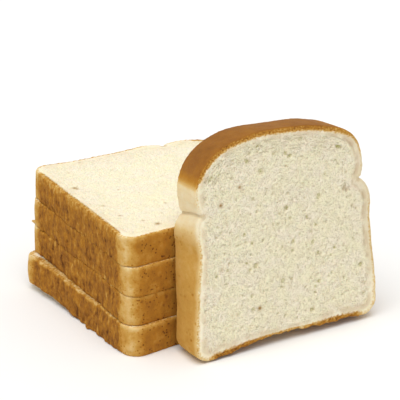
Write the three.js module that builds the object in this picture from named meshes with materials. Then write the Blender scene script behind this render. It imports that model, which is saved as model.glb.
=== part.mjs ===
// A sliced tin loaf: four slices lie flat in a stack and a fifth leans back against the stack's side.
// Millimetres, +Z up. The origin is the centre of the face that the stack rests on. +X runs from the
// bottom crust of the stacked slices to their crown, and -Y is the side where the fifth slice leans.

import * as THREE from 'three';

// Outline of a slice, from the bottom crust up to the crown.
const loafWidth = 119; // across the bottom corners
const cornerRadius = 8;
const wallHeight = 70; // bottom crust to the shoulder, where the tin ended
const wallHollow = 2.3; // how far each side wall draws in
const shoulderBulge = 0.9; // how far the shoulder swells out again
const shoulderRise = 14; // shoulder up to the fold under the crown
const foldDepth = 6; // fold, inward from the shoulder
const crownOverhang = 3.5; // widest part of the crown, outward from the fold
const crownSideRise = 10; // fold up to the widest part of the crown
const crownDome = 29; // widest part up to the top
const crownFullness = 0.64; // 0.55 is an ellipse, more is squarer
const crownLean = 3; // how far the top sits off centre

// Slices
const stackedThickness = 17.5;
const leaningThickness = 22;
const stackedArch = 2; // hollow along the middle of the bottom crust
const leaningArch = 4;
const edgeRound = 0.6; // rounding of the cut edges
const restGap = 0.3; // between slices that touch
const curveSteps = 9; // straight pieces to each curve of the outline

// Stack, from the bottom slice up: turn about Z in degrees, and shift along X and Y
const stackedSlices = [
  { turn: 2.6, x: -3.4, y: 0.4 },
  { turn: -0.4, x: -0.3, y: 0.4 },
  { turn: -0.6, x: -0.2, y: -0.3 },
  { turn: -1.8, x: 0, y: 0 },
];

// Leaning slice
const leanAngle = 4.8; // back from upright, in degrees
const leanTurn = 1; // away from the stack's side, in degrees
const leanAlong = 25; // its middle, along X from the stack's middle

const sliceHeight = wallHeight + shoulderRise + crownSideRise + crownDome;
const foldHeight = wallHeight + shoulderRise;

// Right half of the outline, from the middle of the bottom crust to the top of the crown.
function halfOutline(arch) {
  const base = loafWidth / 2;
  const wall = base - wallHollow;
  const shoulder = wall + shoulderBulge;
  const fold = shoulder - foldDepth;
  const crown = fold + crownOverhang;
  const crownSide = foldHeight + crownSideRise;
  const path = new THREE.Path();
  path.moveTo(0, arch);
  path.bezierCurveTo(base * 0.45, arch, base * 0.65, 0, base - cornerRadius, 0);
  path.bezierCurveTo(
    base - cornerRadius / 2, 0,
    base, cornerRadius / 2,
    base, cornerRadius,
  );
  path.bezierCurveTo(
    base - wallHollow / 3, cornerRadius + wallHeight * 0.2,
    wall, wallHeight * 0.6,
    wall, wallHeight * 0.84,
  );
  path.bezierCurveTo(
    wall, wallHeight * 0.9,
    shoulder, wallHeight * 0.94,
    shoulder, wallHeight,
  );
  path.bezierCurveTo(
    shoulder, wallHeight + shoulderRise * 0.5,
    fold + foldDepth * 0.6, foldHeight - shoulderRise * 0.25,
    fold, foldHeight,
  );
  path.bezierCurveTo(
    fold + crownOverhang * 0.4, foldHeight + crownSideRise * 0.2,
    crown, crownSide - crownSideRise * 0.4,
    crown, crownSide,
  );
  path.bezierCurveTo(
    crown, crownSide + crownDome * crownFullness,
    crown * crownFullness, sliceHeight,
    0, sliceHeight,
  );
  return path.getPoints(curveSteps);
}

// The crown rises a little to one side of the middle.
function leanCrown(point) {
  const rise = Math.max(0, point.y - foldHeight) / (sliceHeight - foldHeight);
  return new THREE.Vector2(point.x - crownLean * rise * rise, point.y);
}

function sliceOutline(arch) {
  const right = halfOutline(arch);
  const left = right.slice(1, -1).reverse();
  const mirrored = left.map((point) => new THREE.Vector2(-point.x, point.y));
  return new THREE.Shape([...right, ...mirrored].map(leanCrown));
}

// One slice with its thickness along local Z, centred, and its bottom crust at local Y = 0.
function makeSlice(name, thickness, arch) {
  const geometry = new THREE.ExtrudeGeometry(sliceOutline(arch), {
    depth: thickness - 2 * edgeRound,
    bevelSize: edgeRound,
    bevelOffset: -edgeRound,
    bevelThickness: edgeRound,
    bevelSegments: 2,
  });
  geometry.translate(0, 0, edgeRound - thickness / 2);
  const bread = new THREE.MeshStandardMaterial({ color: '#ead9ae', roughness: 0.85, metalness: 0 });
  const slice = new THREE.Mesh(geometry, bread);
  slice.name = name;
  return slice;
}

// Each slice lies on the one below, crown towards +X.
function makeStack() {
  const stack = new THREE.Group();
  stackedSlices.forEach((place, level) => {
    const slice = makeSlice(`stack_slice_${level + 1}`, stackedThickness, stackedArch);
    slice.geometry.translate(0, -sliceHeight / 2, 0);
    slice.rotation.z = THREE.MathUtils.degToRad(place.turn - 90);
    const middle = stackedThickness / 2 + level * (stackedThickness + restGap);
    slice.position.set(place.x, place.y, middle);
    stack.add(slice);
  });
  stack.updateMatrixWorld(true);
  return stack;
}

// Every corner of every mesh in a group, in the loaf's own frame.
function cornersOf(object) {
  const corners = [];
  object.traverse((mesh) => {
    if (!mesh.isMesh) return;
    const position = mesh.geometry.attributes.position;
    for (let i = 0; i < position.count; i += 1) {
      corners.push(new THREE.Vector3().fromBufferAttribute(position, i).applyMatrix4(mesh.matrixWorld));
    }
  });
  return corners;
}

// The leaning slice stands on its bottom crust and tilts back until it meets the stack.
function makeLeaningSlice(stack) {
  const slice = makeSlice('leaning_slice', leaningThickness, leaningArch);
  slice.rotation.order = 'ZXY';
  slice.rotation.x = THREE.MathUtils.degToRad(90 - leanAngle);
  slice.rotation.z = THREE.MathUtils.degToRad(leanTurn);
  slice.position.x = leanAlong;
  slice.updateMatrixWorld(true);

  // Stand it on the surface, then slide it in to restGap from the stack.
  slice.position.z = -Math.min(...cornersOf(slice).map((corner) => corner.z));
  slice.updateMatrixWorld(true);
  const intoStack = new THREE.Vector3(0, 0, -1).applyQuaternion(slice.quaternion);
  const rearFace = slice.localToWorld(new THREE.Vector3(0, 0, -leaningThickness / 2));
  const halfReach = loafWidth / 2;
  const inReach = cornersOf(stack).filter((corner) => {
    const local = slice.worldToLocal(corner.clone());
    return Math.abs(local.x) < halfReach && local.y > 0 && local.y < sliceHeight;
  });
  const distances = inReach.map((corner) => corner.sub(rearFace).dot(intoStack));
  const slide = Math.min(...distances) - restGap;
  slice.position.y += slide / intoStack.y;
  return slice;
}

const loaf = new THREE.Group();
const stack = makeStack();
loaf.add(stack, makeLeaningSlice(stack));

export default loaf;
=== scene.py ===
import math
import random
from types import SimpleNamespace

import bmesh
import bpy
import numpy as np
from mathutils import Matrix, Vector, geometry, kdtree, noise


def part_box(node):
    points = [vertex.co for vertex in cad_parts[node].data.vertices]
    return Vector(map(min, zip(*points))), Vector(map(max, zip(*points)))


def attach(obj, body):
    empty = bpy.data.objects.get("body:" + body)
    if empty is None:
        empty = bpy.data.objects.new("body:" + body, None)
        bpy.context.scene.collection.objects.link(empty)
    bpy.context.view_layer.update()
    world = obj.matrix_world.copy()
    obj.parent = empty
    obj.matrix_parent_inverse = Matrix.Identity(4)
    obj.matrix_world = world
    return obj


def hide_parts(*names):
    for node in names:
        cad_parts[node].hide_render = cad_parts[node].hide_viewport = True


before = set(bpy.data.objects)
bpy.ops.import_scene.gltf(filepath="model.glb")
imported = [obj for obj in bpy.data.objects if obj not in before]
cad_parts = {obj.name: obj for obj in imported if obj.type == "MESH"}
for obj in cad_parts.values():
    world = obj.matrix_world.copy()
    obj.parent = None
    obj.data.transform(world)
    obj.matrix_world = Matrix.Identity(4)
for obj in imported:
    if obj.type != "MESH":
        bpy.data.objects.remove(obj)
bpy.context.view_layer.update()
print("frame loaded")

mm = 0.001


# An output socket of a material. Sums on it add Math nodes.
class Wire:
    def __init__(self, graph, socket):
        self.graph = graph
        self.socket = socket

    def __add__(self, other):
        return self.graph.maths("ADD", self, other)

    def __radd__(self, other):
        return self.graph.maths("ADD", other, self)

    def __sub__(self, other):
        return self.graph.maths("SUBTRACT", self, other)

    def __rsub__(self, other):
        return self.graph.maths("SUBTRACT", other, self)

    def __mul__(self, other):
        return self.graph.maths("MULTIPLY", self, other)

    def __rmul__(self, other):
        return self.graph.maths("MULTIPLY", other, self)


# A material and the nodes it is made of.
class Graph:
    def __init__(self, name):
        self.material = bpy.data.materials.new(name)
        self.material.use_nodes = True
        self.tree = self.material.node_tree
        self.shader = self.tree.nodes["Principled BSDF"]

    def node(self, kind, settings=None, inputs=None, output=0):
        made = self.tree.nodes.new(kind)
        for key, value in (settings or {}).items():
            if key == "stops":
                self.setStops(made.color_ramp, value)
            else:
                setattr(made, key, value)
        for key, value in (inputs or {}).items():
            self.feed(made.inputs[key], value)
        return Wire(self, made.outputs[output])

    def setStops(self, ramp, stops):
        while len(ramp.elements) < len(stops):
            ramp.elements.new(0.5)
        for element, (place, colour) in zip(ramp.elements, stops):
            element.position = place
            element.color = colour

    def feed(self, socket, value):
        if isinstance(value, Wire):
            self.tree.links.new(value.socket, socket)
        else:
            socket.default_value = value

    def maths(self, operation, first, second):
        return self.node("ShaderNodeMath", {"operation": operation}, {0: first, 1: second})

    def attribute(self, name, output="Fac"):
        return self.node("ShaderNodeAttribute", {"attribute_name": name}, output=output)

    def step(self, value, low, high):
        inputs = {"Value": value, "From Min": low, "From Max": high}
        return self.node("ShaderNodeMapRange", {"interpolation_type": "SMOOTHSTEP"}, inputs)

    def mix(self, factor, first, second):
        settings = {"data_type": "RGBA"}
        return self.node("ShaderNodeMix", settings, {0: factor, 6: first, 7: second}, output=2)

    def stretch(self, vector, scale):
        return self.node("ShaderNodeMapping", None, {"Vector": vector, "Scale": scale})

    def cloud(self, vector, scale, detail=2.0, roughness=0.5):
        inputs = {"Vector": vector, "Scale": scale, "Detail": detail, "Roughness": roughness}
        return self.node("ShaderNodeTexNoise", None, inputs)

    def cells(self, vector, scale):
        return self.node("ShaderNodeTexVoronoi", None, {"Vector": vector, "Scale": scale}, "Distance")


def tint(red, green, blue):
    linear = [((value / 255 + 0.055) / 1.055) ** 2.4 for value in (red, green, blue)]
    return (*linear, 1)


# The outline of a slice in millimetres: x across, y up from the bottom crust.
outlineSizes = {
    "width": 119,  # across the bottom corners
    "corner": 8,
    "wall": 70,  # bottom crust to shoulder
    "wallHollow": 2.3,
    "shoulderBulge": 0.9,
    "shoulderRise": 14,  # shoulder to the fold under the crown
    "foldRight": 6.5,
    "foldLeft": 5.0,
    "crownSetback": 6,  # shoulder in to the foot of the crown
    "crownOverhang": 3.3,  # and out again to its widest part
    "crownSideRise": 10,
    "crownDome": 29,
    "crownFullness": 0.64,
    "crownLean": 3,  # how far the top sits off centre
    "steps": 40,  # points to each curve
    "spacing": 0.4,  # of the places round the crust that depth is measured from
}
foldHeight = outlineSizes["wall"] + outlineSizes["shoulderRise"]


def halfOutline(arch, foldDepth):
    sizes = outlineSizes
    wallHeight = sizes["wall"]
    rise = sizes["shoulderRise"]
    base = sizes["width"] / 2
    wall = base - sizes["wallHollow"]
    shoulder = wall + sizes["shoulderBulge"]
    fold = shoulder - foldDepth
    crown = shoulder - sizes["crownSetback"] + sizes["crownOverhang"]
    underFold = foldHeight - rise * 0.2
    crownSide = foldHeight + sizes["crownSideRise"]
    top = crownSide + sizes["crownDome"]
    full = sizes["crownFullness"]
    corner = sizes["corner"]
    # two handles and the end of each curve
    curves = [
        ((base * 0.45, arch), (base * 0.65, 0), (base - corner, 0)),
        ((base - corner / 2, 0), (base, corner / 2), (base, corner)),
        ((base - 0.8, wallHeight * 0.3), (wall, wallHeight * 0.6), (wall, wallHeight * 0.84)),
        ((wall, wallHeight * 0.9), (shoulder, wallHeight * 0.94), (shoulder, wallHeight)),
        ((shoulder, wallHeight + rise * 0.5), (fold + foldDepth * 0.6, underFold), (fold, foldHeight)),
        ((fold + 1.4, foldHeight + 2), (crown, crownSide - 4), (crown, crownSide)),
        ((crown, crownSide + sizes["crownDome"] * full), (crown * full, top), (0, top)),
    ]
    points = [Vector((0, arch))]
    for handleOut, handleIn, end in curves:
        ends = (points[-1], Vector(handleOut), Vector(handleIn), Vector(end))
        points += geometry.interpolate_bezier(*ends, sizes["steps"])[1:]
    return points


def sliceOutline(arch):
    right = halfOutline(arch, outlineSizes["foldRight"])
    left = halfOutline(arch, outlineSizes["foldLeft"])
    loop = [Vector((p.x, p.y)) for p in right] + [Vector((-p.x, p.y)) for p in reversed(left[1:-1])]
    top = max(p.y for p in loop)
    for point in loop:
        rise = max(0, point.y - foldHeight) / (top - foldHeight)
        point.x -= outlineSizes["crownLean"] * rise * rise
    return loop


# Marks in the crumb: x, y, size, how dark and how deep.
stackSpecks = [
    (-20, 9, 1.3, 0.85, 0.1),
    (-18.2, 9.6, 1.0, 0.8, 0.1),
    (-42, 16, 0.8, 0.5, 0.1),
    (-54, 29, 0.8, 0.4, 0.1),
    (11, 11, 1.1, 0.5, 0.1),
    (28, 13, 0.9, 0.6, 0.1),
    (48, 26, 1.6, 0.85, 0.15),
    (40, 21, 0.9, 0.6, 0.1),
    (-6, 30, 0.8, 0.5, 0.1),
    (24, 44, 0.9, 0.5, 0.2),
    (-34, 40, 0.8, 0.4, 0.1),
    (36, 35, 0.8, 0.5, 0.1),
]
leaningSpecks = [
    (-28, 95, 1.0, 0.9, 0.2),
    (-27, 93.4, 1.4, 0.3, 0.3),
    (-40.5, 87.5, 1.1, 1, 0.1),
    (-18.5, 22.4, 1.3, 1, 0.1),
    (41.3, 80.3, 1.6, 0.4, 0.7),
    (43, 79.2, 1.5, 0.35, 0.7),
    (-42, 50, 1.3, 0.4, 0.3),
    (46, 69, 1.2, 0.25, 0.4),
]

# turn and lean are the CAD part's own, in degrees. The middle of each slice comes from its CAD node.
# arch: hollow along the bottom crust
# along: how far the slice is through the loaf, which sets its pattern
# open: how open the crumb looks
# paintedSideShade: painted shade, added to the side crusts' tone
# paleUpperEdge, paleUpperEdgeWidth: how much paler the bottom crust is along its upper edge, and how wide
# baked: how much thicker the crust looks on the cut face, near the base
# sag: where this slice alone has given way, as in the lists of sagging below
# nubs: x, y, z and radius of crumbs that stick out of the crust
slices = {
    "stack_slice_1": {
        "turn": 2.6,
        "arch": 0.3,
        "along": 0,
        "open": 0.5,
        "paintedSideShade": 0.18,
        "paleUpperEdge": 0.28,
        "paleUpperEdgeWidth": 1.1,
        "baked": 2.3,
        "sag": [((-22, 0, 9), 20, (0, 1.2, 0)), ((12, 0, 9), 20, (0, 1.2, 0))],
        "nubs": [(11, -0.4, -7.6, 1.3), (12.5, -0.6, -8.2, 0.9)],
    },
    "stack_slice_2": {
        "turn": -0.4,
        "arch": 1,
        "along": 18,
        "open": 0.5,
        "paintedSideShade": 0.19,
        "paleUpperEdge": 0.06,
    },
    "stack_slice_3": {
        "turn": -0.6,
        "arch": 1,
        "along": 36,
        "open": 0.5,
        "paintedSideShade": 0.18,
        "paleUpperEdge": 0.06,
        "nubs": [(-56.8, 1.7, -8.0, 1.3), (-58.1, 1.2, -7.8, 0.9)],
    },
    "stack_slice_4": {
        "turn": -1.8,
        "arch": 0.3,
        "along": 54,
        "open": 0.5,
        "paintedSideShade": 0.17,
        "paleUpperEdge": 0.2,
        "paleUpperEdgeWidth": 4.2,
        "specks": stackSpecks,
    },
    "leaning_slice": {
        "turn": 1,
        "lean": 4.8,
        "thickness": 22,
        "arch": 4,
        "along": 90,
        "open": 1,
        "paintedSideShade": 0,
        "paleUpperEdge": 0,
        "baked": 1.3,
        "specks": leaningSpecks,
    },
}

surface = {
    "voxel": 0.65,
    "edge": 0.4,  # rounding of the cut edges
    "closer": 0.28,  # extra thickness, so that stacked slices meet
    "barrel": 0.3,  # how far the crust bulges between the cuts
    "skinDepth": 1.2,  # how far in the small shapes of the crust fade out
    "outlineDepth": 14,  # and how far in its slow waves do
    "tornBand": (76, 102),  # heights of the pale torn band under the crown
    "tornFade": 8,
    "fold": 0.7,  # depth of the fold in that band
    "foldWidth": 0.9,
    "rimCrease": 0.5,  # depth of a crease in the crumb, beside the leaning slice's right crust
    "rimCreaseWidth": 0.8,
    "rimCreaseInset": 4.6,
    "firstSeed": 40,  # of the pits and pores
}

# Uneven surfaces: how high, how long each way, the seed and the octaves.
relief = {
    "outline": (0.7, (30, 30, 60), 1, 2),
    "crustDimples": (0.12, (3, 6, 1), 2, 3),
    "tornCreases": (0.3, (2.4, 30, 1), 3, 2),
    "bottomCrust": (1.0, (5.5, 7, 1), 4, 5),
    "cutFace": (0.25, (22, 22, 50), 5, 2),
    "crumbGrain": (0.12, (1.6, 1.6, 1.6), 6, 2),
    "cutCrust": (0.3, (1.6, 5, 1), 7, 3),
    "creaseWander": (0.8, (9, 9, 9), 8, 1),
    "creaseBreaks": (0.9, (5, 5, 5), 9, 2),
}

# Where soft bread has given way: (x, y, z) in the slice, reach, and the move.
leaningSag = [
    ((-54, 96, 11), 16, (-1.6, 0.3, 0)),
    ((-36, 114, 11), 16, (-1.0, 1.9, 0)),
    ((-10, 121, 11), 20, (0, 2.4, 0)),
    ((18, 122, 11), 18, (0, 0.9, 0)),
    ((43, 113, 11), 12, (0.8, 0.6, 0)),
    ((55, 96, 11), 12, (-1.9, 0, 0)),
    ((59, 28, 11), 24, (2.0, 0, 0)),
    ((56, 2, 11), 12, (-0.6, 1.4, 0)),
    ((35, 3, 11), 14, (0, 0.8, 0)),
    ((3, 4, 11), 20, (0, -1.0, 0)),
    ((-57, 66, 11), 15, (2.2, -0.5, 0)),
    ((-59, 6, 11), 22, (-1.7, -0.4, 0.6)),
    ((-40, 2, 11), 16, (0, -1.0, 0)),
    ((-58, 30, -11), 28, (-1.1, 0, 0)),
    ((-53, 84, -11), 10, (0, -3.0, 0)),
    ((8, 123, -11), 26, (0, -2.0, 0)),
    ((-28, 117, -11), 16, (-0.3, 0.9, 0)),
    ((-49, 106, -11), 10, (1.0, -0.3, 0)),
    ((-58, 55, -11), 16, (-1.0, 0, 0)),
]
# In the stack, z is counted from its foot.
stackSag = [
    ((-60, 0, 0), 34, (0, 0, 3.6)),
    ((-60, 0, 40), 24, (0, 0, 1.2)),
    ((-26, 0, 0), 22, (0, 0, 1.6)),
    ((-60, 0, 8), 14, (0, -1.6, 0)),
    ((-60, 0, 30), 10, (0, -0.4, 0)),
    ((-60, 0, 46), 12, (0, -0.7, 0)),
    ((40, 0, 0), 18, (0, -1.3, 0)),
]
stackFoot = -9  # z of the foot in the lowest slice


def plainSlice(name, outline, thickness, nubs):
    bm = bmesh.new()
    loop = [bm.verts.new((p.x, p.y, -thickness / 2)) for p in outline]
    face = bmesh.ops.contextual_create(bm, geom=loop)["faces"][0]
    walls = bmesh.ops.extrude_face_region(bm, geom=[face])["geom"]
    top = [v for v in walls if isinstance(v, bmesh.types.BMVert)]
    bmesh.ops.translate(bm, verts=top, vec=(0, 0, thickness))
    rims = [e for e in bm.edges if abs(e.verts[0].co.z - e.verts[1].co.z) < 0.001]
    bmesh.ops.bevel(
        bm, geom=rims, offset=surface["edge"], segments=2, profile=0.5, affect="EDGES", material=-1,
    )
    for x, y, z, size in nubs:
        spot = Matrix.Translation((x, y, z))
        bmesh.ops.create_icosphere(bm, subdivisions=2, radius=size, matrix=spot)
    bmesh.ops.recalc_face_normals(bm, faces=bm.faces)
    mesh = bpy.data.meshes.new(name)
    bm.to_mesh(mesh)
    bm.free()
    return mesh


def remeshed(mesh, name):
    piece = bpy.data.objects.new(name, mesh)
    bpy.context.collection.objects.link(piece)
    modifier = piece.modifiers.new("even", "REMESH")
    modifier.mode = "VOXEL"
    modifier.voxel_size = surface["voxel"]
    fine = bpy.data.meshes.new_from_object(piece.evaluated_get(bpy.context.evaluated_depsgraph_get()))
    piece.modifiers.clear()
    piece.data = fine
    fine.name = name
    bpy.data.meshes.remove(mesh)
    return piece


def readPoints(mesh):
    flat = np.empty(len(mesh.vertices) * 3, np.float32)
    mesh.vertices.foreach_get("co", flat)
    return flat.reshape(-1, 3).astype(float)


def uneven(points, name):
    high, scale, seed, octaves = relief[name]
    places = points / np.array(scale) + seed * 17.3  # each seed has its own part of the noise
    return high * np.array([noise.fractal(Vector(p), 0.9, 2.1, octaves) for p in places.tolist()])


def smooth(value, low, high):
    # 0 up to low, 1 from high.
    t = np.clip((value - low) / (high - low), 0, 1)
    return t * t * (3 - 2 * t)


def nearestOnOutline(points, outline):
    # For each point: the nearest place on the crust, which way is out, how far round, and how far in.
    loop = np.array([(p.x, p.y) for p in outline])
    ahead = np.roll(loop, -1, axis=0)
    run = np.concatenate([[0], np.cumsum(np.hypot(*(ahead - loop).T))])
    spots = np.arange(0, run[-1], outlineSizes["spacing"])
    closed = np.vstack([loop, loop[:1]])
    samples = np.stack([np.interp(spots, run, closed[:, 0]), np.interp(spots, run, closed[:, 1])], 1)
    tangent = np.roll(samples, -1, axis=0) - np.roll(samples, 1, axis=0)
    tangent /= np.hypot(*tangent.T)[:, None]
    outward = np.stack([tangent[:, 1], -tangent[:, 0]], 1)
    tree = kdtree.KDTree(len(samples))
    for i, (x, y) in enumerate(samples.tolist()):
        tree.insert((x, y, 0), i)
    tree.balance()
    nearest = np.array([tree.find((x, y, 0))[1] for x, y in points[:, :2].tolist()])
    depth = -np.sum((points[:, :2] - samples[nearest]) * outward[nearest], axis=1)
    return samples[nearest], outward[nearest], spots[nearest], depth


# How brown the crust is at each height: 0 is pale and 1 is dark.
crustTones = {
    "heights": [0, 1.5, 4, 8, 30, 66, 72, 78, 84, 98, 101.5, 106, 112, 120, 124],
    "tones": [0.42, 0.34, 0.42, 0.46, 0.45, 0.41, 0.28, 0.1, 0.04, 0.12, 0.48, 0.74, 0.82, 0.81, 0.77],
    "bottom": 0.73,
    "crownRightPaler": 0.22,
    "upperEdgePaler": 0.16,  # of the side crusts
    "upperEdgeWidth": 2.2,
    "baseMiddlePaler": 0.26,  # of the leaning slice's bottom crust
    "baseMiddleWidth": 24,
    "rightCutPaler": 0.07,  # of the leaning slice's crust on its front face
}


def toneOf(nearest, paintedSideShade):
    x, height = nearest.T
    tone = np.interp(height, crustTones["heights"], crustTones["tones"])
    # painted shade: the side crusts darkened between the foot and the crown, most on the stack slices
    tone += paintedSideShade * smooth(height, 1, 10) * smooth(76 - height, 0, 10)
    tone -= crustTones["crownRightPaler"] * smooth(x, 26, 48) * smooth(height, 98, 104)
    under = smooth(50 - np.abs(x), -2, 4) * smooth(10 - height, 0, 2)
    return tone + (crustTones["bottom"] - tone) * under, under


def sagged(points, moves, foot):
    moved = points.copy()
    for centre, reach, move in moves:
        offset = (points - centre + (0, 0, foot)) / reach
        moved += np.exp(-np.sum(offset * offset, axis=1))[:, None] * move
    return moved


# Hollows in the cut faces.
pores = {
    "count": 3300,  # on each cut face
    "sizes": [0.5, 0.65, 0.85, 1.15, 1.6],  # half widths
    "chances": [44, 34, 12, 3, 0.5],
    "deep": 0.9,  # of the half width
    "inset": 4.6,  # from the crust
    "rightInset": 2.0,  # more, beside the leaning slice's right crust
    "crownBand": 20,  # pores this near the crown are drawn out along it
    "crownLonger": 1.8,
}

# Hollows in the crust.
pits = {
    "count": 170,
    "sizes": [0.4, 0.55, 0.8],
    "chances": [6, 4, 1],
    "deep": 0.6,
    "longer": 1.2,
    "spread": 0.94,  # how far they go towards the cuts, which are at 1
}


def pressHollow(pressed, tree, centre, axis, halfLength, halfWidth, deep):
    # Presses in the points round centre, deepest in the middle.
    for place, i, distance in tree.find_range(centre, halfLength):
        offset = place - centre
        along = offset.dot(axis) / halfLength
        across2 = max(0, offset.length_squared - (along * halfLength) ** 2) / halfWidth ** 2
        inside = 1 - along * along - across2
        if inside > 0:
            pressed[i] = max(pressed[i], deep * inside ** 0.7)


def treeOf(points, chosen):
    tree = kdtree.KDTree(len(chosen))
    for i in chosen.tolist():
        tree.insert(points[i], i)
    tree.balance()
    return tree


def pressPores(at, chosen, draw):
    pressed = np.zeros(len(at.points))
    flat = at.points * (1, 1, 0)
    tree = treeOf(flat, chosen)
    for i in draw.choices(chosen.tolist(), k=pores["count"]):
        halfWidth = draw.choices(pores["sizes"], pores["chances"])[0] * draw.uniform(0.8, 1.2)
        nearCrown = max(0, 1 - at.depth[i] / pores["crownBand"]) * (at.nearest[i, 1] > 90)
        longer = draw.uniform(1, 1.4) + pores["crownLonger"] * nearCrown
        turn = draw.gauss(0, 0.9) * (1 - 0.8 * nearCrown)
        tangent = Vector((-at.outward[i, 1], at.outward[i, 0], 0))
        axis = Matrix.Rotation(turn, 3, "Z") @ tangent
        deep = pores["deep"] * halfWidth * draw.uniform(0.5, 1)
        pressHollow(pressed, tree, Vector(flat[i]), axis, halfWidth * longer, halfWidth, deep)
    return pressed


def pressPits(at, draw):
    onSides = (at.depth < 0.6) & (at.nearest[:, 1] < surface["tornBand"][0])
    chosen = np.flatnonzero(onSides & (np.abs(at.across) < pits["spread"]))
    pressed = np.zeros(len(at.points))
    rolled = np.stack([at.run, at.points[:, 2], np.zeros(len(at.points))], 1)
    tree = treeOf(rolled, chosen)
    axis = Vector((0, 1, 0))
    for i in draw.choices(chosen.tolist(), k=pits["count"]):
        halfWidth = draw.choices(pits["sizes"], pits["chances"])[0] * draw.uniform(0.8, 1.3)
        halfLength = halfWidth * pits["longer"]
        deep = pits["deep"] * halfWidth
        pressHollow(pressed, tree, Vector(rolled[i]), axis, halfLength, halfWidth, deep)
    return pressed


def storeNumbers(mesh, name, values):
    layer = mesh.attributes.new(name, "FLOAT", "POINT")
    layer.data.foreach_set("value", values.astype(np.float32))


# The sheet that a slice's finish is baked on, in millimetres.
bakeSheet = {
    "side": 256,
    "cutHeight": 128,  # kept for the two cut faces, at the top
    "stripStart": 70,
    "stripGap": 6,
    "cutSteepness": 0.6,  # a face that points more than this along the loaf is on a cut
}


def bakeMap(mesh, at):
    # Two cut faces side by side, and the crust below them as four strips.
    side = bakeSheet["side"]
    gap = bakeSheet["stripGap"]
    perimeter = at.run.max() + outlineSizes["spacing"]
    quarter = perimeter / 4
    loops = np.empty(len(mesh.loops), np.int32)
    mesh.loops.foreach_get("vertex_index", loops)
    starts = np.empty(len(mesh.polygons), np.int32)
    mesh.polygons.foreach_get("loop_start", starts)
    totals = np.empty(len(mesh.polygons), np.int32)
    mesh.polygons.foreach_get("loop_total", totals)
    owner = np.repeat(np.arange(len(starts)), totals)
    normals = np.empty(len(mesh.polygons) * 3, np.float32)
    mesh.polygons.foreach_get("normal", normals)
    facing = normals.reshape(-1, 3)[:, 2]
    x, y, z = at.points[loops].T

    # cut faces
    uv = np.empty((len(loops), 2))
    uv[:, 0] = np.where((facing > 0)[owner], side * 0.25, side * 0.75) + x
    uv[:, 1] = side - bakeSheet["cutHeight"] + y

    # crust, where a face that spans the start of the outline is kept whole
    runs = at.run[loops].copy()
    first = np.repeat(runs[starts], totals)
    runs += perimeter * ((first - runs) > perimeter / 2)
    runs -= perimeter * ((runs - first) > perimeter / 2)
    centreRun = np.bincount(owner, runs) / totals
    row = np.clip(np.floor(centreRun / quarter), 0, 3)[owner]
    wall = ~(np.abs(facing) > bakeSheet["cutSteepness"])[owner]
    uv[wall, 0] = (runs - row * quarter + bakeSheet["stripStart"])[wall]
    uv[wall, 1] = (row * (at.thickness + gap) + at.thickness / 2 + gap + z)[wall]
    layer = mesh.uv_layers.new(name="OFBake")
    layer.data.foreach_set("uv", (uv / side).astype(np.float32).ravel())


def boxMiddle(points):
    return (points.min(axis=0) + points.max(axis=0)) / 2


def measured(points, outline, place, thickness):
    nearest, outward, run, depth = nearestOnOutline(points, outline)
    tone, under = toneOf(nearest, place["paintedSideShade"])
    inLoaf = points + (0, 0, place["along"])
    across = 2 * points[:, 2] / thickness
    return SimpleNamespace(
        points=points,
        thickness=thickness,
        nearest=nearest,  # place on the crust
        outward=outward,
        run=run,  # how far round the crust
        depth=depth,  # how far in from it
        tone=tone,
        under=under,  # 1 on the bottom crust
        inLoaf=inLoaf,
        rolled=np.stack([run, inLoaf[:, 2], np.zeros(len(run))], 1),  # the crust laid flat
        across=across,  # -1 and 1 at the cuts
        facing=np.sign(points[:, 2]),
        onCut=smooth(np.abs(across), 1 - 1.6 / thickness, 1 - 0.5 / thickness),
        skin=np.exp(-(np.maximum(depth, 0) / surface["skinDepth"]) ** 2),
        fold=np.exp(-((nearest[:, 1] - foldHeight) / surface["foldWidth"]) ** 2),
    )


def crustShift(at):
    # How far each point moves outward.
    inside = np.maximum(at.depth, 0)
    height = at.nearest[:, 1]
    low, high = surface["tornBand"]
    torn = smooth(height, low, low + surface["tornFade"]) * smooth(high - height, 0, surface["tornFade"])
    shift = uneven(at.inLoaf, "outline") * np.exp(-inside / surface["outlineDepth"])
    shift += at.skin * surface["barrel"] * (1 - at.across ** 2)
    shift += at.skin * uneven(at.rolled, "crustDimples") * (1 - at.under)
    shift += at.skin * torn * uneven(at.rolled, "tornCreases")
    shift -= surface["fold"] * at.fold * np.exp(-(inside / 2) ** 2)
    shift += at.skin * at.under * uneven(at.rolled, "bottomCrust")
    return shift


def rimCreaseOf(at, rightRim):
    # A broken crease that wanders along the crust.
    off = at.depth - surface["rimCreaseInset"] - uneven(at.inLoaf, "creaseWander")
    crease = rightRim * np.exp(-(off / surface["rimCreaseWidth"]) ** 2)
    return crease * (0.55 + uneven(at.inLoaf, "creaseBreaks")).clip(0, 1)


def cutLift(at, openness, crease):
    # How far each point of a cut face moves out of it.
    lift = uneven(at.inLoaf, "cutFace")
    lift += openness * uneven(at.inLoaf, "crumbGrain") * smooth(at.depth, 0.5, 3)
    lift += at.skin * uneven(at.rolled, "cutCrust")
    return lift - surface["rimCrease"] * crease


def pressBothCuts(at, openness, rightRim, draw):
    hollows = np.zeros(len(at.points))
    crumbOnly = at.depth > pores["inset"] + pores["rightInset"] * rightRim
    for sign in (-1, 1):
        chosen = np.flatnonzero((at.points[:, 2] * sign > at.thickness / 2 - 0.3) & crumbOnly)
        hollows += pressPores(at, chosen, draw) * openness
    return hollows


# How much each mark darkens the bread: painted shade in the fold and the crease, a darker tint by the
# right rim.
stainsAndShade = {
    "rimCrease": 0.4,
    "fold": 0.35,
    "rightRim": 0.2,
}


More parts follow.
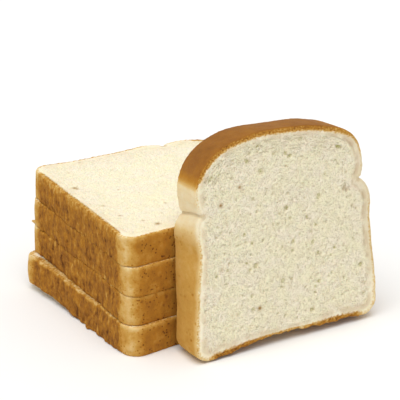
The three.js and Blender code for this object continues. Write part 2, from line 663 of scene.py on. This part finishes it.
def stainAndShadeOf(at, crease, rightRim):
    stain = np.maximum(stainsAndShade["rimCrease"] * crease, stainsAndShade["fold"] * at.fold * (at.depth < 2.5))
    return np.maximum(stain, stainsAndShade["rightRim"] * rightRim * smooth(5 - at.depth, 0, 2))


def turnOf(place):
    if "lean" in place:
        upright = Matrix.Rotation(math.radians(90 - place["lean"]), 3, "X")
        return np.array(Matrix.Rotation(math.radians(place["turn"]), 3, "Z") @ upright)
    return np.array(Matrix.Rotation(math.radians(place["turn"] - 90), 3, "Z"))


def storeLooks(mesh, at, place, hollow, stain):
    leaning = "lean" in place
    x, y, z = at.points.T
    tone = at.tone
    nearBase = smooth(30 - y, 0, 16) * (z > 0)
    if leaning:
        nearBase *= 2 * smooth(np.abs(x), 6, 38) - 1
        middle = np.exp(-(x / crustTones["baseMiddleWidth"]) ** 2)
        tone -= crustTones["baseMiddlePaler"] * at.under * middle
    fromTop = np.maximum(at.thickness / 2 - z, 0)
    # the bottom crust paler along its upper edge
    tone -= at.under * place["paleUpperEdge"] * np.exp(-(fromTop / place.get("paleUpperEdgeWidth", 3.2)) ** 2)
    upperEdge = np.exp(-(fromTop / crustTones["upperEdgeWidth"]) ** 2)
    belowCrown = smooth(90 - at.nearest[:, 1], 0, 10)
    tone -= (1 - at.under) * crustTones["upperEdgePaler"] * belowCrown * upperEdge
    rightCut = smooth(at.nearest[:, 0], 40, 55) * at.onCut * (at.facing > 0)
    tone -= leaning * crustTones["rightCutPaler"] * rightCut

    coordinates = mesh.attributes.new("loafPlace", "FLOAT_VECTOR", "POINT")
    coordinates.data.foreach_set("vector", at.inLoaf.astype(np.float32).ravel())
    storeNumbers(mesh, "crustDepth", at.depth / (1 + (place.get("baked", 1) - 1) * nearBase))
    storeNumbers(mesh, "crustRun", at.run)
    storeNumbers(mesh, "crustTone", tone)
    storeNumbers(mesh, "bottomCrust", at.under)
    storeNumbers(mesh, "hollow", hollow)
    storeNumbers(mesh, "stain", stain)
    storeNumbers(mesh, "openness", np.full(len(at.points), place["open"]))


def makeSlice(name, order):
    place = slices[name]
    leaning = "lean" in place
    low, high = (np.array(corner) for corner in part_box(name))
    thickness = place.get("thickness", (high[2] - low[2]) / mm) + surface["closer"]
    outline = sliceOutline(place["arch"])
    piece = remeshed(plainSlice(name, outline, thickness, place.get("nubs", [])), name + "_bread")
    mesh = piece.data
    points = readPoints(mesh)
    at = measured(points, outline, place, thickness)
    draw = random.Random(surface["firstSeed"] + order)

    # crust
    pitted = pressPits(at, draw)
    moved = points.copy()
    moved[:, :2] += at.outward * (crustShift(at) - pitted)[:, None]

    # cut faces: rightRim is 1 beside the leaning slice's right crust, on its front face
    rightRim = smooth(at.nearest[:, 0], 30, 48) * smooth(at.nearest[:, 1], 18, 34)
    rightRim = rightRim * leaning * (at.facing > 0) * at.onCut
    crease = rimCreaseOf(at, rightRim)
    lift = cutLift(at, place["open"], crease)
    hollows = pressBothCuts(at, place["open"], rightRim, draw)
    stain = stainAndShadeOf(at, crease, rightRim)
    for x, y, size, dark, deep in place.get("specks", []):
        spread = ((points[:, 0] - x) ** 2 + (points[:, 1] - y) ** 2) / size ** 2
        spot = np.exp(-spread) * (at.facing > 0) * at.onCut
        stain = np.maximum(stain, dark * spot)
        lift -= deep * spot
    moved[:, 2] += at.facing * at.onCut * (lift - hollows)

    # sagging
    foot = 0 if leaning else place["along"] - stackFoot
    moved += sagged(points, leaningSag if leaning else stackSag, foot) - points
    moved += sagged(points, place.get("sag", []), 0) - points

    # from the slice's own millimetres to its place, centred on its CAD node
    turn = turnOf(place)
    plain = np.array([(p.x, p.y, side * thickness / 2) for p in outline for side in (-1, 1)])
    centre = (low + high) / 2 - boxMiddle(plain @ turn.T * mm)
    mesh.vertices.foreach_set("co", (moved @ turn.T * mm + centre).astype(np.float32).ravel())

    bakeMap(mesh, at)
    storeLooks(mesh, at, place, np.maximum(pitted, hollows), stain)
    mesh.polygons.foreach_set("use_smooth", np.ones(len(mesh.polygons), bool))
    mesh.update()
    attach(piece, "root")
    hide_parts(name)
    print(f"{name}: {len(mesh.polygons)} faces")
    return piece


breadLook = {
    "crumb": tint(250, 241, 209),
    "palerCrumb": tint(251, 240, 216),
    # the pores' colour: painted shade with a slight tint, and an olive one in the deepest hollows
    "poreTintAndShade": tint(202, 186, 150),
    "deepPoreTintAndShade": tint(182, 174, 100),
    "rimCrumb": tint(222, 200, 166),
    # the colour of stains and specks, also used for painted shade in the fold and the crease
    "stain": tint(150, 104, 0),
    "crust": [
        (0.0, tint(240, 226, 192)),
        (0.2, tint(228, 198, 138)),
        (0.42, tint(203, 156, 77)),
        (0.6, tint(179, 122, 41)),
        (0.8, tint(151, 98, 37)),
        (1.0, tint(100, 58, 20)),
    ],
    "crustThickness": 1.4,  # on the cut faces
    "crownThicker": 1.6,
    "bottomThicker": 0.9,
    "ragged": 3.2,  # unevenness of its inner edge
    "roughness": 0.92,
    "crownSmoother": 0.25,
    "bump": 0.7,
    "bumpDistance": 0.0013,
    "subsurface": 0.12,
    "subsurfaceRadius": (1.0, 0.6, 0.35),
    "subsurfaceScale": 0.0009,
    "specular": 0.12,
}


def crumbOf(graph, at):
    # A fine open grain, with lines that follow the crown; its pores and hollows are darkened as painted
    # shade.
    mottle = graph.cloud(at.place, 1.1, 4, 0.6)
    openings = 1 - graph.step(graph.cells(at.place, 0.62), 0.12, 0.5)
    fine = 1 - graph.step(graph.cells(at.place, 1.45), 0.1, 0.5)
    inner = graph.step(at.depth, 2, 6)
    flowPlace = graph.node("ShaderNodeCombineXYZ", None, {"X": at.run * 0.11, "Y": at.depth * 0.8})
    nearCrown = graph.step(at.depth, 3, 6) * (1 - graph.step(at.depth, 11, 18))
    nearCrown = nearCrown * graph.step(at.tone, 0.5, 0.65) * (1 - at.under)
    flow = graph.step(graph.cloud(flowPlace, 1.0, 2), 0.5, 0.72) * nearCrown
    # painted shade: the grain's small pores and the pressed hollows drawn darker
    grainAndPaintedShade = (openings * 0.16 + fine * 0.56 + graph.step(at.hollow, 0.15, 0.8) * 0.4) * inner
    # nearCrown adds a band of painted shade in the crumb under the crown
    grainAndPaintedShade = (grainAndPaintedShade + (mottle - 0.5) * 0.6 + flow * 0.45 + nearCrown * 0.08) * at.openness
    paler = graph.step(graph.cloud(at.place, 0.09, 3, 0.6), 0.42, 0.62)
    base = graph.mix(paler * 0.8, breadLook["crumb"], breadLook["palerCrumb"])
    pore = graph.mix(graph.step(at.hollow, 0.5, 0.9), breadLook["poreTintAndShade"], breadLook["deepPoreTintAndShade"])
    crumb = graph.mix(grainAndPaintedShade, base, pore)

    # denser just inside the crust
    patchy = graph.step(graph.cloud(at.place, 0.14, 2), 0.35, 0.6)
    rimLine = graph.step(at.depth, 1.5, 3.5) * (1 - graph.step(at.depth, 4.2, 7.5)) * at.openness * patchy
    rimFade = (1 - graph.step(at.depth, 3, 24)) * (1 - at.openness)
    crumb = graph.mix(rimLine * 0.6 + rimFade * 0.34, crumb, breadLook["rimCrumb"])
    height = ((1 - openings) * 0.25 + (1 - fine) * 0.6) * inner + mottle * 0.35 - flow * 0.5
    return crumb, height * at.openness


def crustOf(graph, at, crown):
    # Blotches and speckles all over, freckles on the sides, and streaks on the bottom.
    streaks = graph.cloud(graph.stretch(at.place, (1, 1, 0.22)), 0.4, 4, 0.6)
    flecks = graph.cloud(graph.stretch(at.place, (1, 1, 0.45)), 0.7, 4, 0.65)
    blotch = graph.cloud(at.place, 0.16, 4, 0.6)
    speckle = graph.cloud(at.place, 1.6, 3, 0.6)
    freckles = 1 - graph.step(graph.cells(at.place, 0.5), 0.12, 0.34)
    freckled = graph.step(graph.cloud(at.place, 0.12, 2), 0.42, 0.58)
    freckled = freckled * graph.step(at.tone, 0.34, 0.46) * (1 - at.under)
    blotches = (blotch - 0.5) * (0.25 + (1 - at.openness) * 0.6 + at.under * 0.2)
    browned = at.tone + blotches + (speckle - 0.5) * 0.12 + at.hollow * 0.3
    browned = browned + freckles * freckled * (1 - at.openness) * 0.8
    browned = browned + ((streaks - 0.5) * 0.7 + (flecks - 0.5) * 0.75) * at.under

    # paler and grainier where it is cut
    cutEdge = graph.step(at.depth, 0.05, 0.7)
    granules = graph.cloud(at.place, 0.85, 3, 0.7)
    browned = browned - cutEdge * (0.05 + crown * 0.12) - graph.step(at.depth, 1.6, 3.4) * 0.28
    browned = browned + (granules - 0.5) * cutEdge * (1.6 - at.under * (1 - at.openness) * 1.8)
    crust = graph.node("ShaderNodeValToRGB", {"stops": breadLook["crust"]}, {"Fac": browned})
    return crust, speckle * 0.25 + (streaks * 0.6 + flecks * 0.8) * at.under


def makeBread():
    graph = Graph("bread")
    at = SimpleNamespace(
        place=graph.attribute("loafPlace", "Vector"),
        depth=graph.attribute("crustDepth"),
        run=graph.attribute("crustRun"),
        tone=graph.attribute("crustTone"),
        under=graph.attribute("bottomCrust"),
        hollow=graph.attribute("hollow"),
        openness=graph.attribute("openness"),
    )
    crown = graph.step(at.tone, 0.5, 0.68) * (1 - at.under)
    crumb, crumbHeight = crumbOf(graph, at)
    crust, crustHeight = crustOf(graph, at, crown)

    # the crust's thickness on the cut faces
    ragged = graph.cloud(at.place, 0.7, 3, 0.65) - 0.5
    thick = breadLook["crustThickness"] + crown * breadLook["crownThicker"]
    thick = thick + at.under * breadLook["bottomThicker"]
    inward = at.depth + ragged * breadLook["ragged"] - thick
    crustMask = 1 - graph.step(inward, -0.3, 0.9)
    colour = graph.mix(crustMask, crumb, crust)
    # stains and specks, with painted shade in the fold and the crease
    colour = graph.mix(graph.attribute("stain"), colour, breadLook["stain"])

    height = crumbHeight * (1 - crustMask) + crustHeight * crustMask
    bump = {"Height": height, "Strength": breadLook["bump"], "Distance": breadLook["bumpDistance"]}
    smoother = crustMask * (1 - at.under) * graph.step(at.tone, 0.5, 0.8) * breadLook["crownSmoother"]
    finish = {
        "Base Color": colour,
        "Roughness": breadLook["roughness"] - smoother,
        "Normal": graph.node("ShaderNodeBump", None, bump),
        "Subsurface Weight": breadLook["subsurface"],
        "Subsurface Radius": breadLook["subsurfaceRadius"],
        "Subsurface Scale": breadLook["subsurfaceScale"],
        "Specular IOR Level": breadLook["specular"],
    }
    for socket, value in finish.items():
        graph.feed(graph.shader.inputs[socket], value)
    return graph.material


bread = makeBread()
print("bread material made")
for order, name in enumerate(slices):
    makeSlice(name, order).data.materials.append(bread)

stage = {
    "floorSize": 8,
    "floorDrop": 0.0002,  # below the surface that the loaf stands on
    "floor": tint(246, 246, 244),
    "floorRoughness": 0.9,
    "world": 0.6,
    "sun": 1.85,
    "sunFrom": (-0.3, -0.25, 1.2),
    "sunAngle": 50,  # across the sun in degrees, wide for soft shadows
}


def makeFloor():
    bm = bmesh.new()
    bmesh.ops.create_grid(bm, x_segments=1, y_segments=1, size=stage["floorSize"])
    bmesh.ops.translate(bm, verts=bm.verts, vec=(0, 0, -stage["floorDrop"]))
    mesh = bpy.data.meshes.new("floor")
    bm.to_mesh(mesh)
    bm.free()
    floor = bpy.data.objects.new("floor", mesh)
    bpy.context.collection.objects.link(floor)
    graph = Graph("floor")
    graph.feed(graph.shader.inputs["Base Color"], stage["floor"])
    graph.feed(graph.shader.inputs["Roughness"], stage["floorRoughness"])
    mesh.materials.append(graph.material)


def makeWorld():
    # A soft dome of light, which looks white where it is seen.
    world = bpy.data.worlds.new("studio")
    world.use_nodes = True
    tree = world.node_tree
    dome = tree.nodes["Background"]
    dome.inputs["Color"].default_value = (1, 1, 1, 1)
    path = tree.nodes.new("ShaderNodeLightPath")
    power = tree.nodes.new("ShaderNodeMapRange")
    power.inputs["To Min"].default_value = stage["world"]
    tree.links.new(path.outputs["Is Camera Ray"], power.inputs["Value"])
    tree.links.new(power.outputs["Result"], dome.inputs["Strength"])
    bpy.context.scene.world = world


def makeSun():
    data = bpy.data.lights.new("sun", "SUN")
    data.energy = stage["sun"]
    data.angle = math.radians(stage["sunAngle"])
    light = bpy.data.objects.new("sun", data)
    bpy.context.collection.objects.link(light)
    light.rotation_euler = Vector(stage["sunFrom"]).to_track_quat("Z", "Y").to_euler()


camera = {
    "azimuth": -30.96,
    "elevation": 22.96,
    "distance": 1.546,
    "lens": 255.5,
    "sensor": 36,
    "aim": (-0.0287, -0.0787, 0.095),
}


def makeCamera():
    azimuth = math.radians(camera["azimuth"])
    elevation = math.radians(camera["elevation"])
    back = Vector((
        math.sin(azimuth) * math.cos(elevation),
        -math.cos(azimuth) * math.cos(elevation),
        math.sin(elevation),
    ))
    data = bpy.data.cameras.new("camera")
    data.lens = camera["lens"]
    data.sensor_width = camera["sensor"]
    view = bpy.data.objects.new("camera", data)
    bpy.context.collection.objects.link(view)
    view.location = Vector(camera["aim"]) + back * camera["distance"]
    view.rotation_euler = back.to_track_quat("Z", "Y").to_euler()
    bpy.context.scene.camera = view


makeFloor()
makeWorld()
makeSun()
makeCamera()
bpy.context.scene.view_settings.view_transform = "Standard"
print("stage made")
